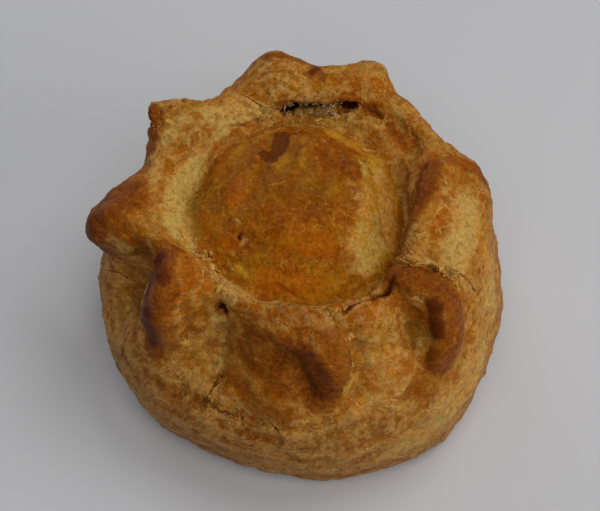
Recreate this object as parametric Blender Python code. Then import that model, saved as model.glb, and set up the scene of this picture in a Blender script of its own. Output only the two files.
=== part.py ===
"""A hand-raised pork pie: a bowed case, eight finger-pinched crimps and a domed lid, baked into one piece.

The pie stands on the XY plane with its axis on Z. Columns of points run up the wall, over the rim and down
into the groove round the lid, and a square grid closes the lid. Lengths in the tables are millimetres and
angles are degrees.
"""

import math
from collections import namedtuple

import bmesh
import bpy
import numpy as np
from mathutils import Vector, noise

MM = 0.001

# Driving dimensions in millimetres; a bow is the share of the belly's swell that shows at that height
FOOT_ROUNDING = (1.4, 1.0)
LOWER_WALL_HEIGHT = 8.0
LOWER_WALL_BOW = 0.7
BELLY_HEIGHT = 17.0
SHOULDER_HEIGHT = 24.0
SHOULDER_BOW = 0.62
NECK_HEIGHT = 29.5
RIM_INNER_DROP = 1.4
LID_EDGE_RISE = (3.4, 2.0)
LID_SHOULDER_RISE = 3.0
LID_TOP_HEIGHT = 42.6
LID_FLATNESS = 2.6

CRUST_COLOUR = (0.42, 0.19, 0.045, 1)

# Mesh density: columns are a multiple of 8, so that the lid's square grid meets them point for point
COLUMNS = 120
LID_GRID_SHARE = 0.74

# Going round from +X: radius inside the rim, radius and height of its crest, radius and height of the outer
# lip, and radius of the neck below it. Crimps and the finger hollows between them take turns.
Rim = namedtuple("Rim", "angle inner crest crest_height lip lip_height neck")
RIM = (
    Rim(12, 22.6, 26.5, 42.0, 36.0, 39.2, 37.4),
    Rim(38, 27.4, 30.8, 40.2, 33.4, 38.6, 35.4),
    Rim(56, 28.2, 31.4, 40.8, 34.2, 39.4, 34.6),
    Rim(67, 28.0, 34.6, 42.6, 39.4, 41.2, 35.4),
    Rim(82, 25.6, 32.0, 41.8, 35.4, 40.2, 34.4),
    Rim(100, 26.0, 34.0, 43.6, 39.0, 41.6, 35.4),
    Rim(112, 25.6, 31.0, 42.0, 34.2, 40.2, 34.2),
    Rim(124, 25.0, 29.0, 41.6, 32.2, 40.0, 33.8),
    Rim(141, 24.8, 32.4, 44.0, 35.8, 43.0, 34.6),
    Rim(159, 25.5, 29.2, 41.8, 32.0, 39.5, 33.4),
    Rim(182, 26.4, 34.4, 42.0, 40.6, 36.4, 36.4),
    Rim(201, 25.4, 27.2, 41.4, 28.8, 39.0, 31.4),
    Rim(214, 23.2, 26.8, 41.4, 33.2, 36.0, 35.2),
    Rim(238, 21.6, 23.0, 40.2, 25.2, 37.0, 30.2),
    Rim(282, 21.8, 24.6, 40.0, 30.6, 35.0, 34.6),
    Rim(303, 22.6, 24.4, 39.0, 28.4, 36.4, 35.8),
    Rim(323, 22.0, 25.6, 39.6, 34.6, 34.6, 37.4),
    Rim(343, 22.4, 25.8, 41.4, 34.0, 37.8, 37.8),
)

# The groove where the lid meets the rim: it is wider and shallower at the back
Groove = namedtuple("Groove", "angle radius height")
GROOVE = (
    Groove(0, 20.4, 34.6),
    Groove(45, 22.0, 36.0),
    Groove(90, 24.6, 37.0),
    Groove(135, 21.8, 37.6),
    Groove(180, 20.6, 37.2),
    Groove(225, 19.6, 37.0),
    Groove(270, 19.6, 36.2),
    Groove(315, 21.2, 34.8),
)

# The wall bows out unevenly and has slumped towards the front: radii of the belly and of the foot
Wall = namedtuple("Wall", "angle belly foot")
WALL = (
    Wall(0, 40.0, 36.0),
    Wall(50, 38.4, 34.4),
    Wall(90, 38.0, 34.0),
    Wall(135, 38.2, 34.2),
    Wall(185, 39.9, 35.6),
    Wall(215, 40.8, 36.8),
    Wall(250, 39.6, 35.6),
    Wall(285, 41.0, 38.2),
    Wall(315, 42.6, 40.2),
    Wall(340, 41.0, 37.8),
)

# Folds of the pinched dough and the dents between them. Each follows a line of points (x, y, z, rise) on the
# crust and fades out at its radius, and a negative rise presses in. A fullness of 1 gives a full round roll,
# and more gives softer flanks.
Fold = namedtuple("Fold", "name radius fullness points")
FOLDS = (
    Fold("left crimp knob", 7, 2, ((-36, -1, 38, 1.2), (-38.5, -3, 34, 1.4))),
    Fold(
        "hollow behind the left crimp",
        5.5,
        2,
        ((-29, -9.5, 37, -1.2), (-31, -9.5, 30, -2.4), (-32.5, -12, 26, -2.4), (-32.5, -18.5, 25, -0.8)),
    ),
    Fold(
        "front left crimp",
        5.5,
        1.5,
        ((-23.5, -14, 41.5, 0.8), (-24, -18, 39.5, 3), (-25, -21, 34, 3.4), (-25.5, -24.5, 27, 1.2)),
    ),
    Fold("crease beside it", 4, 2, ((-14.5, -21.5, 36, -1.4), (-15.5, -25, 30, -2), (-16, -30.5, 26, -0.8))),
    Fold(
        "front crimp",
        5,
        1.5,
        (
            (-10.5, -23, 37, 0.6),
            (-5, -25.5, 38.5, 1.6),
            (0, -27, 38.5, 3),
            (3, -28.5, 37, 3.8),
            (5.5, -30.5, 34, 3.4),
            (5.5, -33.5, 30.5, 1.4),
        ),
    ),
    Fold("step beside it", 3.2, 2, ((7.5, -25.5, 39, -1.6), (10, -28, 35.5, -2.2), (9.5, -32.5, 30.5, -1))),
    Fold(
        "curled crimp",
        4.8,
        1,
        (
            (17, -17, 39, 0.8),
            (19.5, -17, 39.5, 2.2),
            (22.5, -18, 38.5, 3),
            (25, -19.5, 36.5, 3.4),
            (26.5, -22, 34.5, 3.4),
            (26, -25, 31, 2.6),
            (25, -28.5, 27, 0.6),
        ),
    ),
    Fold("pit in the curl", 4.4, 1.5, ((20.5, -21, 37, -2), (21.5, -24, 34, -3.2), (21, -26.5, 31.5, -1.2))),
    Fold("inner roll on the right", 3.8, 1.5, ((27, 7, 42, 0.6), (24.5, 0, 41.5, 2), (21, -11, 40.5, 1.6))),
    Fold("back crease", 2.4, 1, ((-5, 25.5, 39, -1), (1, 25, 39, -2.2), (8, 25, 39, -2))),
    Fold("back right crease", 2.6, 1, ((11, 25.5, 39.5, -0.6), (18, 21.5, 39, -1.4), (22, 15, 39, -1))),
    Fold("flange beside the lid", 5.6, 2, ((13.5, 20.5, 38.5, 0.8), (18, 15.5, 38, 1.2))),
    Fold("dimple in the lid", 3, 2, ((-6, 15, 41, -0.7), (-5, 13.5, 41, -0.7))),
    Fold("blister on the lid", 3.6, 2, ((9.5, 9.5, 41, 0.7), (10.5, 8, 41, 0.5))),
)

# Lumps of hand-raised dough: their rise and size, and how far up they start, so that the base stays flat
LUMP_RISE = 0.6
LUMP_SIZE = 8.5
LUMP_START_HEIGHT = 3.0


def round_the_pie(stations, field):
    """The field of the stations at every column, easing from each station to the next."""
    angles = np.array([s.angle for s in stations], float)
    values = np.array([getattr(s, field) for s in stations], float)
    angles = np.append(angles, angles[0] + 360)
    values = np.append(values, values[0])
    at = (np.arange(COLUMNS) * 360 / COLUMNS - angles[0]) % 360 + angles[0]
    after = np.clip(np.searchsorted(angles, at, side="right"), 1, len(stations))
    share = (at - angles[after - 1]) / (angles[after] - angles[after - 1])
    eased = share * share * (3 - 2 * share)
    return values[after - 1] + (values[after] - values[after - 1]) * eased


def wall_and_rim_profile():
    """Key points, each a radius and a height for every column, and how many rings follow each of them."""
    belly, foot = round_the_pie(WALL, "belly"), round_the_pie(WALL, "foot")
    neck = round_the_pie(RIM, "neck")
    groove, groove_height = round_the_pie(GROOVE, "radius"), round_the_pie(GROOVE, "height")
    crest_height = round_the_pie(RIM, "crest_height")
    keys = (
        (foot - FOOT_ROUNDING[0], 0.0, 1),
        (foot, FOOT_ROUNDING[1], 2),
        (foot + LOWER_WALL_BOW * (belly - foot), LOWER_WALL_HEIGHT, 2),
        (belly, BELLY_HEIGHT, 2),
        (neck + SHOULDER_BOW * (belly - neck), SHOULDER_HEIGHT, 2),
        (neck, NECK_HEIGHT, 5),
        (round_the_pie(RIM, "lip"), round_the_pie(RIM, "lip_height"), 5),
        (round_the_pie(RIM, "crest"), crest_height, 4),
        (round_the_pie(RIM, "inner"), crest_height - RIM_INNER_DROP, 5),
        (groove, groove_height, 3),
        (groove - LID_EDGE_RISE[0], groove_height + LID_EDGE_RISE[1], 1),
        (groove * LID_GRID_SHARE, groove_height + LID_SHOULDER_RISE, 0),
    )
    points = np.array([np.stack((radius, np.ones(COLUMNS) * height), -1) for radius, height, _ in keys])
    return points, [rings for _, _, rings in keys]


def smooth_rings(keys, counts):
    """Rings along a smooth path through the key points, which a centripetal Catmull-Rom spline follows."""
    gaps = np.sqrt(np.linalg.norm(np.diff(keys, axis=0), axis=2, keepdims=True))
    slopes = np.diff(keys, axis=0) / gaps
    tangents = np.empty_like(keys)
    tangents[0], tangents[-1] = slopes[0], slopes[-1]
    tangents[1:-1] = slopes[:-1] + slopes[1:] - (keys[2:] - keys[:-2]) / (gaps[:-1] + gaps[1:])
    rings = []
    for start, count in enumerate(counts[:-1]):
        for t in np.arange(count) / count:
            rings.append(
                (2 * t**3 - 3 * t**2 + 1) * keys[start]
                + (t**3 - 2 * t**2 + t) * gaps[start] * tangents[start]
                + (3 * t**2 - 2 * t**3) * keys[start + 1]
                + (t**3 - t**2) * gaps[start] * tangents[start + 1]
            )
    return rings + [keys[-1]]


def ring_points(ring):
    angle = np.arange(len(ring)) * 2 * math.pi / len(ring)
    return np.stack((ring[:, 0] * np.cos(angle), ring[:, 0] * np.sin(angle), ring[:, 1]), -1)


def add_lid_grid(bm, rim_verts):
    """Closes the lid inside its outer ring with squares drawn in one inside the other, down to the centre."""
    steps = COLUMNS // 8
    rings = {steps: rim_verts}
    outer = np.array([v.co for v in rim_verts]) / MM
    for step in range(steps - 1, -1, -1):
        count = max(1, 8 * step)
        at = np.arange(count) * COLUMNS / count
        low = np.floor(at).astype(int) % COLUMNS
        share = (at - np.floor(at))[:, None]
        edge = outer[low] * (1 - share) + outer[(low + 1) % COLUMNS] * share
        inward = step / steps
        place = edge * (inward, inward, 1)
        place[:, 2] = LID_TOP_HEIGHT - (LID_TOP_HEIGHT - edge[:, 2]) * inward**LID_FLATNESS
        rings[step] = [bm.verts.new(Vector(p) * MM) for p in place]
    for step in range(1, steps + 1):
        add_square_ring(bm, rings[step], rings[step - 1], step)


def add_square_ring(bm, outer, inner, step):
    """Quads between a square ring of 8 * step points and the smaller one inside it."""
    side = 2 * step
    for corner in range(4):
        start = corner * side - step
        inner_start = corner * (side - 2) - (step - 1)
        for k in range(side):
            a = outer[(start + k) % len(outer)]
            b = outer[(start + k + 1) % len(outer)]
            if k == 0:
                c = inner[inner_start % len(inner)]
                before = outer[(start - 1) % len(outer)]
                bm.faces.new((before, a, b, c))
            elif k < side - 1:
                c, d = inner[(inner_start + k) % len(inner)], inner[(inner_start + k - 1) % len(inner)]
                bm.faces.new((a, b, c, d))


def distance_and_rise(points, line):
    """Each point's distance from the line, and the line's rise at the nearest place on it."""
    best = np.full(len(points), np.inf)
    rise = np.zeros(len(points))
    for start, end in zip(line[:-1], line[1:]):
        along = end[:3] - start[:3]
        share = np.clip((points - start[:3]) @ along / (along @ along), 0, 1)
        distance = np.linalg.norm(points - start[:3] - share[:, None] * along, axis=1)
        nearer = distance < best
        best[nearer] = distance[nearer]
        rise[nearer] = (start[3] + (end[3] - start[3]) * share)[nearer]
    return best, rise


def raise_folds(bm):
    """Moves the crust along its own normals, by the folds and then by the lumps."""
    bm.normal_update()
    points = np.array([v.co for v in bm.verts]) / MM
    normals = np.array([v.normal for v in bm.verts])
    moved = points.copy()
    for fold in FOLDS:
        distance, rise = distance_and_rise(points, np.array(fold.points))
        inside = np.clip(1 - (distance / fold.radius) ** 2, 0, 1)
        moved += normals * (rise * inside**fold.fullness)[:, None]
    start = np.clip(points[:, 2] / LUMP_START_HEIGHT - 1, 0, 1)
    lumps = np.array([noise.noise(Vector(p) / LUMP_SIZE) for p in points])
    moved += normals * (LUMP_RISE * lumps * start)[:, None]
    for vert, place in zip(bm.verts, moved):
        vert.co = Vector(place) * MM


def make_pie():
    bm = bmesh.new()
    rings = [
        [bm.verts.new(Vector(p) * MM) for p in ring_points(ring)]
        for ring in smooth_rings(*wall_and_rim_profile())
    ]
    for lower, upper in zip(rings, rings[1:]):
        for i in range(COLUMNS):
            j = (i + 1) % COLUMNS
            bm.faces.new((lower[i], lower[j], upper[j], upper[i]))
    bm.faces.new(reversed(rings[0]))
    add_lid_grid(bm, rings[-1])
    raise_folds(bm)
    mesh = bpy.data.meshes.new("pork_pie")
    bm.to_mesh(mesh)
    bm.free()
    mesh.shade_smooth()
    pie = bpy.data.objects.new("pork_pie", mesh)
    bpy.context.scene.collection.objects.link(pie)
    return pie


def baked_pastry():
    material = bpy.data.materials.new("baked_pastry")
    material.use_nodes = True
    shader = material.node_tree.nodes["Principled BSDF"]
    shader.inputs["Base Color"].default_value = CRUST_COLOUR
    shader.inputs["Roughness"].default_value = 0.5
    shader.inputs["Metallic"].default_value = 0
    material.diffuse_color = CRUST_COLOUR
    return material


for left_over in list(bpy.data.objects):
    bpy.data.objects.remove(left_over)
make_pie().data.materials.append(baked_pastry())
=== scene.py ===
import math

import bpy
import numpy as np
from mathutils import Matrix, Vector, noise


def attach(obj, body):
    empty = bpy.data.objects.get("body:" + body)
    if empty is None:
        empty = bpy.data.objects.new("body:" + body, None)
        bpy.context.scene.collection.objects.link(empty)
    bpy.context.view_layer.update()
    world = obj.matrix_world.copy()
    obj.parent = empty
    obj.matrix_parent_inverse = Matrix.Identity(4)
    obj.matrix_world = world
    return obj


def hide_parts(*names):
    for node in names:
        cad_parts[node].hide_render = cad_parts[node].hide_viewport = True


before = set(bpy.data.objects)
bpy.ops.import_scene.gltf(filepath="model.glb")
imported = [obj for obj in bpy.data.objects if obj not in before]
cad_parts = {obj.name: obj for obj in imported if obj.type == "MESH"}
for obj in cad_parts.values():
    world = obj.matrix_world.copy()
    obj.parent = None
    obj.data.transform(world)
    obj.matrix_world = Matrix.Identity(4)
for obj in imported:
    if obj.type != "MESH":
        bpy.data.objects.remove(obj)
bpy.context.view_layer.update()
mm = 0.001
noise.seed_set(2)   # so that every run is uneven in the same way

cameraSettings = {"place": (0.0, -0.1893, 0.2947), "tilt": 35, "lens": 100, "sensor": 36}
floorSettings = {
    "size": 3.0,
    "light": (0.50, 0.50, 0.51, 1),
    "dark": (0.475, 0.485, 0.515, 1),
    "clouds": 9.0,   # how many patches of light and dark there are in a metre
    "roughness": 0.6,
}
lampSettings = {   # compass angle from +X and height above the floor, in degrees
    "window": {"angle": 30, "height": 58, "power": 4.1, "colour": (1.0, 0.99, 0.97)},
    "sideWindow": {"angle": -30, "height": 22, "power": 3.9, "colour": (1.0, 0.98, 0.96)},
    "backWindow": {"angle": 120, "height": 22, "power": 2.3, "colour": (0.93, 0.97, 1.0)},
    "ceiling": {"angle": 270, "height": 60, "power": 3.7, "colour": (1.0, 0.98, 0.96)},
}
roomSettings = {   # every lamp hangs at the same distance from the pie, in metres, and faces it
    "aim": (0, 0, 0.02),
    "lampDistance": 1.0,
    "lampSize": 0.75,
    "colour": (1.0, 1.0, 1.0, 1),
    "strength": 0.12,
}


def selectOnly(thing):
    if bpy.context.object and bpy.context.object.mode != "OBJECT":
        bpy.ops.object.mode_set(mode="OBJECT")
    bpy.ops.object.select_all(action="DESELECT")
    thing.select_set(True)
    bpy.context.view_layer.objects.active = thing


def addNode(tree, kind, inputs=None, **settings):
    made = tree.nodes.new("ShaderNode" + kind)
    for name, value in settings.items():
        setattr(made, name, value)
    for name, value in (inputs or {}).items():
        socket = made.inputs[name]
        if isinstance(value, bpy.types.NodeSocket):
            tree.links.new(value, socket)
        else:
            socket.default_value = value
    return made


def mathOf(tree, operation, first, second=0.0):
    return addNode(tree, "Math", {0: first, 1: second}, operation=operation).outputs[0]


def mixOf(tree, share, first, second, blend="MIX"):
    inputs = {0: share, 6: first, 7: second}
    return addNode(tree, "Mix", inputs, data_type="RGBA", blend_type=blend).outputs[2]


def spread(tree, value, low, high, start=0.0, end=1.0):   # from low to high, eased to start and end
    inputs = {"Value": value, "From Min": low, "From Max": high, "To Min": start, "To Max": end}
    return addNode(tree, "MapRange", inputs, interpolation_type="SMOOTHSTEP").outputs[0]


def noiseOf(tree, place, scale, detail=3.0, roughness=0.55, distortion=0.0):
    inputs = {"Vector": place, "Scale": scale, "Detail": detail}
    inputs.update({"Roughness": roughness, "Distortion": distortion})
    return addNode(tree, "TexNoise", inputs)


def ragged(tree, mask, wander, low=0.35, high=0.65, reach=0.7):   # a soft mask with a broken edge
    shift = mathOf(tree, "MULTIPLY", mathOf(tree, "SUBTRACT", wander, 0.5), reach)
    return spread(tree, mathOf(tree, "ADD", mask, shift), low, high)


def layerOf(tree, name):
    return addNode(tree, "Attribute", attribute_name=name).outputs["Fac"]


def newGroup(name, inputs, outputs):
    tree = bpy.data.node_groups.new(name, "ShaderNodeTree")
    kinds = {3: "NodeSocketVector", 4: "NodeSocketColor"}
    for label, value in inputs.items():
        kind = kinds[len(value)] if isinstance(value, tuple) else "NodeSocketFloat"
        socket = tree.interface.new_socket(label, in_out="INPUT", socket_type=kind)
        socket.default_value = value
    for label, kind in outputs.items():
        tree.interface.new_socket(label, in_out="OUTPUT", socket_type="NodeSocket" + kind)
    return tree, tree.nodes.new("NodeGroupInput").outputs, tree.nodes.new("NodeGroupOutput").inputs


def useGroup(tree, group, inputs):
    return addNode(tree, "Group", inputs, node_tree=group).outputs


def newMaterial(name):
    material = bpy.data.materials.new(name)
    material.use_nodes = True
    return material, material.node_tree, material.node_tree.nodes["Principled BSDF"].inputs


def bumped(tree, height, sockets):   # heights are in millimetres
    bump = addNode(tree, "Bump", {"Strength": 1.0, "Distance": mm, "Height": height})
    tree.links.new(bump.outputs["Normal"], sockets["Normal"])


def makeCamera():
    lean = (math.radians(cameraSettings["tilt"]), 0, 0)
    bpy.ops.object.camera_add(location=cameraSettings["place"], rotation=lean)
    camera = bpy.context.object
    camera.name = "camera"
    camera.data.lens = cameraSettings["lens"]
    camera.data.sensor_width = cameraSettings["sensor"]
    bpy.context.scene.camera = camera


def makeFloor():
    bpy.ops.mesh.primitive_plane_add(size=floorSettings["size"], location=(0, 0, 0))
    floor = bpy.context.object
    floor.name = "floor"
    material, tree, sockets = newMaterial("paleTop")
    place = addNode(tree, "TexCoord").outputs["Object"]
    cloud = noiseOf(tree, place, floorSettings["clouds"], 2.0).outputs["Fac"]
    tint = mixOf(tree, cloud, floorSettings["light"], floorSettings["dark"])
    tree.links.new(tint, sockets["Base Color"])
    sockets["Roughness"].default_value = floorSettings["roughness"]
    floor.data.materials.append(material)


def makeLights():
    for name, light in lampSettings.items():
        angle = math.radians(light["angle"])
        height = math.radians(light["height"])
        level = math.cos(height)
        away = Vector((math.cos(angle) * level, math.sin(angle) * level, math.sin(height)))
        place = Vector(roomSettings["aim"]) + away * roomSettings["lampDistance"]
        bpy.ops.object.light_add(type="AREA", location=place)
        lamp = bpy.context.object
        lamp.name = name
        lamp.rotation_euler = away.to_track_quat("Z", "Y").to_euler()
        lamp.data.shape = "DISK"
        lamp.data.size = roomSettings["lampSize"]
        lamp.data.energy = light["power"]
        lamp.data.color = light["colour"]
    world = bpy.data.worlds.new("softRoom")
    world.use_nodes = True
    background = world.node_tree.nodes["Background"]
    background.inputs["Color"].default_value = roomSettings["colour"]
    background.inputs["Strength"].default_value = roomSettings["strength"]
    bpy.context.scene.world = world
    bpy.context.scene.view_settings.view_transform = "Standard"


makeCamera()
makeFloor()
makeLights()
print("camera, floor and lights: done")


def crackleGroup():   # broken lines between cells of dough
    inputs = {"Vector": (0.0, 0.0, 0.0), "Scale": 330.0, "Warp": 0.0018, "Width": 0.10}
    tree, given, put = newGroup("crackle", inputs, {"Lines": "Float"})
    wander = noiseOf(tree, given["Vector"], 460, 3).outputs["Color"]
    middle = addNode(tree, "VectorMath", {0: wander, 1: (0.5, 0.5, 0.5)}, operation="SUBTRACT").outputs[0]
    shift = addNode(tree, "VectorMath", {0: middle, "Scale": given["Warp"]}, operation="SCALE").outputs[0]
    place = addNode(tree, "VectorMath", {0: given["Vector"], 1: shift}, operation="ADD").outputs[0]
    cells = {"Vector": place, "Scale": given["Scale"]}
    edge = addNode(tree, "TexVoronoi", cells, feature="DISTANCE_TO_EDGE").outputs["Distance"]
    thin = noiseOf(tree, given["Vector"], 210, 3).outputs["Fac"]
    width = mathOf(tree, "MULTIPLY", given["Width"], spread(tree, thin, 0.42, 0.62, 0.02, 1.0))
    tree.links.new(spread(tree, edge, 0.0, width, 1.0, 0.0), put["Lines"])
    return tree


def mottleGroup():   # three tones of baked dough, in uneven patches
    grey = (0.5, 0.5, 0.5, 1.0)
    inputs = {"Vector": (0.0, 0.0, 0.0), "Scale": 250.0, "Light": grey, "Middle": grey, "Dark": grey}
    tree, given, put = newGroup("mottle", inputs, {"Colour": "Color", "Height": "Float"})
    patch = noiseOf(tree, given["Vector"], given["Scale"], 7, 0.68, 0.9).outputs["Fac"]
    finer = mathOf(tree, "MULTIPLY", given["Scale"], 3.3)
    small = noiseOf(tree, given["Vector"], finer, 4, 0.6).outputs["Fac"]
    value = mathOf(tree, "ADD", mathOf(tree, "MULTIPLY", patch, 0.62), mathOf(tree, "MULTIPLY", small, 0.38))
    colour = mixOf(tree, spread(tree, value, 0.38, 0.49), given["Dark"], given["Middle"])
    colour = mixOf(tree, spread(tree, value, 0.50, 0.61), colour, given["Light"])
    tree.links.new(colour, put["Colour"])
    tree.links.new(value, put["Height"])
    return tree


def grainGroup():   # fine pimples of fat and flour, pale specks that stand partly for flour and partly for painted glints, and pinholes
    inputs = {"Vector": (0.0, 0.0, 0.0), "Scale": 1900.0, "Pale": 0.16, "Dark": 0.05}
    outputs = {"Height": "Float", "Specks": "Float", "Pinholes": "Float"}
    tree, given, put = newGroup("grain", inputs, outputs)
    rough = noiseOf(tree, given["Vector"], given["Scale"], 3, 0.6).outputs["Fac"]
    cells = {"Vector": given["Vector"], "Scale": given["Scale"]}
    dots = addNode(tree, "TexVoronoi", cells, feature="F1")
    dome = spread(tree, dots.outputs["Distance"], 0.10, 0.50, 1.0, 0.0)
    chance = addNode(tree, "SeparateColor", {0: dots.outputs["Color"]}).outputs[0]
    specks = mathOf(tree, "MULTIPLY", dome, mathOf(tree, "LESS_THAN", chance, given["Pale"]))
    limit = mathOf(tree, "SUBTRACT", 1.0, given["Dark"])
    pinholes = mathOf(tree, "MULTIPLY", dome, mathOf(tree, "GREATER_THAN", chance, limit))
    height = mathOf(tree, "SUBTRACT", mathOf(tree, "ADD", rough, specks), pinholes)
    tree.links.new(height, put["Height"])
    tree.links.new(specks, put["Specks"])
    tree.links.new(pinholes, put["Pinholes"])
    return tree


crackle = crackleGroup()
mottle = mottleGroup()
grain = grainGroup()
print("node groups: done")

# the crust is worked in millimetres; every stroke is a path over it with a width and a height
crustSettings = {
    "levels": 2,
    "wobble": ((0.45, 2.4), (0.30, 0.9)),   # how far stroke edges wander, and over what length
    "lumps": ((7.0, 0.38), (3.0, 0.18), (1.3, 0.09)),   # size and rise of each scale of unevenness
    "crumbly": ((1.1, 0.30), (1.8, 0.25)),   # the same where the crust is torn
    "layering": 1.7,   # plates and flakes in the wall are this much wider than high
    "flakeSizes": ((4.5, 1.0, 3.0), (1.5, 0.35, 9.0), (0.5625, 0.15, 5.0)),   # size, share and shift
    "flakeSteps": (-0.3, -0.05, 0.2),
    "flakeSlope": 0.05,
    "flakeRise": 0.14,
    "blisterSize": 2.8,
    "blisterReach": 0.45,
    "blisterShare": 0.30,
    "blisterRise": 0.30,
    "plateSize": 3.4,
    "plateWobble": ((0.9, 3.0), (0.6, 1.6), (0.25, 0.7)),
    "seamWidth": 0.16,
    "seamDepth": 0.20,
    "seamPatches": 9.0,   # seams show in some places only, about this far apart
    "lidCalm": 0.1,   # how much smoother the lid is than the wall
    "restHeight": 1.2,   # nothing below this is moved, so that the base stays flat
    "lidCentre": (0.0, 0.5),
    "lidRadius": 20.5,
    "lidFade": 3,
    "lidFloor": 33,
    "rimFrom": (32, 6),   # the height where the rim's colour starts, and over how much it comes in
    "lowFrom": (22, 14),   # the same for the floury foot, downwards
    "crackReach": 2.5,
    "crackWidth": 0.2,
    "ridge": (40, 1.4),   # rounds of smoothing and the height that counts as full, for broad ridges
    "edge": (5, 0.3),   # and for thin edges
}

folds = {   # path, radius and rise of each fold or dent that is finer than the solid
    "front left roll": (((-24.5, -15, 42), (-25.5, -19.5, 41), (-26, -23, 36.5), (-24.5, -24, 32)), 3, 0.9),
    "side of the front left roll": (((-21.5, -20, 40), (-21, -22, 36), (-20, -23.5, 31)), 2.2, -0.6),
    "front left hollow": (((-29.5, -7, 37), (-31, -10, 32), (-31.5, -15, 27)), 3.6, -1),
    "crease by the roll": (
        ((-14.5, -20, 37), (-14.5, -21.5, 32.5), (-15, -27.5, 27), (-16, -30.5, 25)), 2.2, -0.3),
    "face of the front crimp": (((-7, -27.5, 35), (-1, -32, 33), (1.5, -34.5, 29)), 3.2, -1),
    "front crimp edge": (
        ((2, -26.5, 41), (5.5, -28, 39.5), (7, -30.5, 37), (7, -33, 33.5), (5.5, -34.5, 30)), 2, 0.7),
    "front crimp hollow": (((-1, -28.5, 40), (2.5, -31, 38.5), (3.5, -33, 35)), 1.8, -0.35),
    "under the front crimp": (
        ((-7, -27, 36), (-3, -29.5, 37), (0, -31.5, 33.5), (1, -33.5, 30.5)), 1.2, -0.7),
    "pit in the curl": (((20.5, -20.5, 37), (22, -23.5, 34)), 2.6, -0.8),
    "crease in the curl": (((19.5, -20, 38.5), (18.5, -23, 35), (20, -26, 31.5)), 1.2, -0.5),
    "lump in the curl": (((21.5, -23.5, 33), (21.5, -24.5, 32.5)), 1.7, 0.7),
    "curl": (
        ((18, -16.5, 40.5), (22, -16.5, 41), (26, -18, 40), (28, -21, 36.5), (28, -25, 32),
         (25.5, -28.5, 29.5)), 2.8, 0.7),
    "back right crease": (((11.5, 24, 39), (14.5, 24.5, 39), (17, 21.5, 38), (20, 16, 38)), 1.9, -0.45),
    "lid swell, left": (((-10, 6, 41.5), (-12, -2, 41)), 4.5, 0.4),
    "lid ridge, back": (((2.5, 15, 40.5), (0, 10, 42), (-3, 5, 42.5)), 1.8, 0.45),
    "lid trough, left": (((-7, 10, 41.5), (-7, 5, 42), (-9, 0, 42)), 2.4, -0.5),
    "lid trough, middle": (((-6, 1, 42.5), (-2, -2, 43), (3, -1, 43), (7, -4, 41.5)), 2.2, -0.45),
    "lid trough, back": (((4, 13, 41), (5.5, 8, 42), (4, 3, 42.5)), 2.2, -0.4),
    "lid swell, right": (((10, 11, 40), (12.5, 4, 39.5), (13, -3, 39.5), (10, -9, 39.5)), 3.4, 0.5),
    "lid trough, front": (((-13, -8, 40), (-6, -10, 41), (0, -12, 40.5), (6, -10, 41)), 2, -0.35),
    "front groove": (
        ((17.5, -17, 40), (15.5, -19, 39.5), (13.5, -19.5, 39), (11, -20.5, 39),
         (8, -22.5, 39)), 1.5, -0.9),
    "scar": (((-3.5, 17.5, 41), (-4, 15, 41.5), (-5, 12, 42)), 2.3, -0.3),
    "scar tip": (((-6.5, 12, 41.5), (-5.5, 11, 42)), 2.1, -0.2),
    "right inner roll": (((25, 8.5, 42), (23.5, 2, 43), (22, -3, 42), (20.5, -8, 41)), 2.4, 0.5),
    "notch in the back left rim": (((-13.5, 30.5, 41.5), (-13, 28, 42)), 1.3, -0.7),
    "red blister": (((9.5, 8.5, 41.5), (10, 8, 41.5)), 2, 0.45),
}

ledges = {   # path, radius, rise on the right of the path (and fall on its left), and width of the step
    "front left roll, outer edge": (
        ((-28.5, -23, 28), (-29.5, -20, 31), (-28.5, -20, 37), (-28, -16.5, 39), (-27.5, -10, 37),
         (-27.5, -6, 40)), 2.6, 0.5, 0.5),
    "front crimp edge": (
        ((7.5, -33.5, 31), (8.5, -31.5, 34.5), (7.5, -29.5, 37), (6, -27, 39),
         (4.5, -24.5, 40)), 2.2, -1.1, 0.22),
    "inside the curl": (
        ((23, -28.5, 29.5), (25, -27, 32), (24.5, -25, 34), (24.5, -22.5, 37.5), (23, -20, 39.5),
         (18.5, -18, 40.5)), 2.6, 0.5, 0.8),
    "torn left tip": (((-28.5, 13, 41), (-27.5, 17, 43), (-26, 20.5, 44)), 2.2, 0.25, 0.25),
    "torn lip": (
        ((28, -13, 38.5), (25.5, -13, 39.5), (23, -13.5, 40), (20.5, -14, 41),
         (18, -10, 36)), 1.8, 0.8, 0.25),
    "front groove ledge": (
        ((17.5, -17, 40), (15.5, -19, 39.5), (13.5, -19.5, 39), (11, -20.5, 39),
         (7, -23.5, 39)), 1.6, -0.7, 0.3),
    "flap by the back left": (
        ((-6, 24.5, 39.5), (-8.5, 24.5, 41), (-10.5, 25, 41.5), (-13, 26, 41.5)), 1.6, 0.2, 0.3),
    "skin by the back left": (
        ((-7, 23, 38.5), (-10, 21.5, 39.5), (-15, 20, 40.5), (-20, 17, 40)), 2.2, 0.25, 0.3),
    "front scarp": (
        ((9, -36.5, 25.5), (4.5, -38, 24), (0, -38.5, 22.5), (-4.5, -38, 22.5), (-8.5, -37, 22.5),
         (-11, -36, 22)), 2.6, -0.45, 0.25),
    "front left scarp": (((-15, -34, 22.5), (-18, -33.5, 21.5), (-21, -33, 20)), 1.6, -0.25, 0.25),
    "skin of the front left rim": (
        ((-21.5, -22, 33), (-19, -18, 40), (-16.5, -16, 39), (-15, -17.5, 39)), 1.8, -0.35, 0.3),
}

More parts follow.
